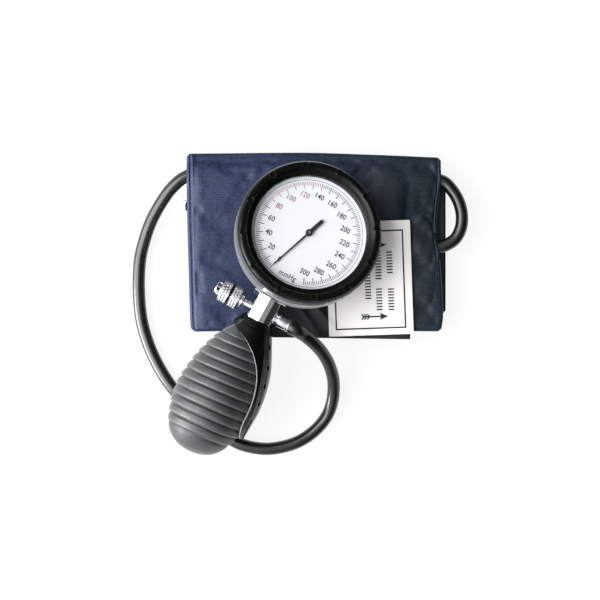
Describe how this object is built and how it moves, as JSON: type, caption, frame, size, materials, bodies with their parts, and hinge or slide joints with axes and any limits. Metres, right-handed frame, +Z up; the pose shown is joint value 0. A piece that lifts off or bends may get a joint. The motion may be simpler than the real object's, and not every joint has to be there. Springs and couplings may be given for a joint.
{
  "type": "upper arm blood pressure monitor",
  "caption": "Palm-type aneroid blood pressure monitor lying on its folded upper arm cuff, with gauge, release valve, squeeze bulb and hose.",
  "frame": {"origin": "middle of the footprint of everything but the hose, at table level", "axes": "+Z up from the table; +Y from the bulb towards the far long edge of the folded cuff; +X towards the end of the cuff where the hose joins the bladder"},
  "size_m": [0.1865, 0.1665, 0.0611],
  "materials": {
    "case_black": "satin black, faintly green",
    "ring_black": "satin black moulded rubber",
    "lens_clear": "clear, polished",
    "spacer_black": "matt black",
    "dial_white": "white enamel with a printed scale",
    "brass": "turned and punched",
    "copper_alloy": "pressed and tinned",
    "steel": "bright steel",
    "pointer_black": "satin black paint",
    "chrome": "polished chrome plate",
    "valve_rubber": "red-brown rubber",
    "handle_black": "gloss black",
    "bulb_rubber": "matt dark grey, ribbed",
    "hose_rubber": "gloss black",
    "port_rubber": "matt black",
    "bladder_rubber": "matt grey",
    "hook_tape": "black hook tape",
    "cuff_blue": "navy woven nylon",
    "cuff_black": "black woven nylon",
    "label_white": "white printed satin label"
  },
  "bodies": {
    "monitor": {"rear_case": "case_black", "bezel_ring": "ring_black", "lens": "lens_clear", "spacer_ring": "spacer_black", "dial_plate": "dial_white", "pillars": "brass", "base_plate": "brass", "movement_screws": "steel", "bridge_posts": "brass", "bridge_plate": "brass", "capsule_base": "brass", "capsule": "copper_alloy", "hairspring": "brass", "gauge_stem": "steel", "stem_flange": "chrome", "manifold_block": "chrome", "valve_seat": "brass", "valve_neck": "chrome", "hose_connector": "chrome", "hose_ferrule": "chrome", "bulb_spigot": "brass", "handle_spoon": "handle_black", "bulb": "bulb_rubber", "inlet_valve_body": "chrome", "inlet_screen": "steel", "hose": "hose_rubber", "bladder_port": "port_rubber", "bladder": "bladder_rubber", "hook_tape": "hook_tape", "cuff_lower_fold": "cuff_blue", "cuff_inner_fold": "cuff_black", "cuff_upper_fold": "cuff_blue", "cuff_flap": "cuff_black", "cuff_label": "label_white", "metal_bar": "steel"},
    "sector": {"sector_gear": "brass", "sector_arbor": "steel"},
    "pointer_train": {"pointer": "pointer_black", "pointer_hub": "pointer_black", "pinion_arbor": "steel"},
    "rocking_lever": {"rocking_shaft": "steel"},
    "push_pin_body": {"push_pin": "steel"},
    "release_knob": {"valve_knob": "chrome", "valve_tip": "chrome"},
    "release_needle": {"valve_needle": "brass"},
    "outlet_disc": {"outlet_valve_disc": "valve_rubber"},
    "inlet_disc": {"inlet_valve_disc": "valve_rubber"}
  },
  "joints": [
    {"name": "sector_rock", "type": "hinge", "parent": "monitor", "child": "sector", "pos_m": [-0.01219, 0.0431, 0.04362], "axis": [0.1532, 0.1816, 0.9714], "range_deg": [0, 26.54]},
    {"name": "pointer_spin", "type": "hinge", "parent": "monitor", "child": "pointer_train", "pos_m": [-0.00011, 0.03775, 0.04662], "axis": [-0.1532, -0.1816, -0.9714], "range_deg": [0, 318.5]},
    {"name": "lever_rock", "type": "hinge", "parent": "monitor", "child": "rocking_lever", "pos_m": [-0.00571, 0.04169, 0.04121], "axis": [-0.884, 0.4645, 0.0526], "range_deg": [0, 15.1]},
    {"name": "pin_rise", "type": "slide", "parent": "monitor", "child": "push_pin_body", "axis": [0.1532, 0.1816, 0.9714], "range_m": [0, 0.0019]},
    {"name": "valve_turn", "type": "hinge", "parent": "monitor", "child": "release_knob", "pos_m": [-0.04198, 0.00525, 0.03979], "axis": [-0.878, 0.4787, 0], "range_deg": [0, 540]},
    {"name": "needle_lift", "type": "slide", "parent": "monitor", "child": "release_needle", "axis": [-0.878, 0.4787, 0], "range_m": [0, 0.00105]},
    {"name": "outlet_disc_lift", "type": "slide", "parent": "monitor", "child": "outlet_disc", "axis": [0.4699, 0.8619, 0.1908], "range_m": [0, 0.0008]},
    {"name": "inlet_disc_lift", "type": "slide", "parent": "monitor", "child": "inlet_disc", "axis": [0.4699, 0.8619, 0.1908], "range_m": [0, 0.0008]}
  ],
  "couplings": [
    {"joint": "pointer_spin", "follows": "sector_rock", "ratio": 12},
    {"joint": "lever_rock", "follows": "sector_rock", "ratio": 0.56891},
    {"joint": "pin_rise", "follows": "sector_rock", "m_per_rad": 0.0041015},
    {"joint": "needle_lift", "follows": "valve_turn", "m_per_rad": 0.00011141}
  ]
}
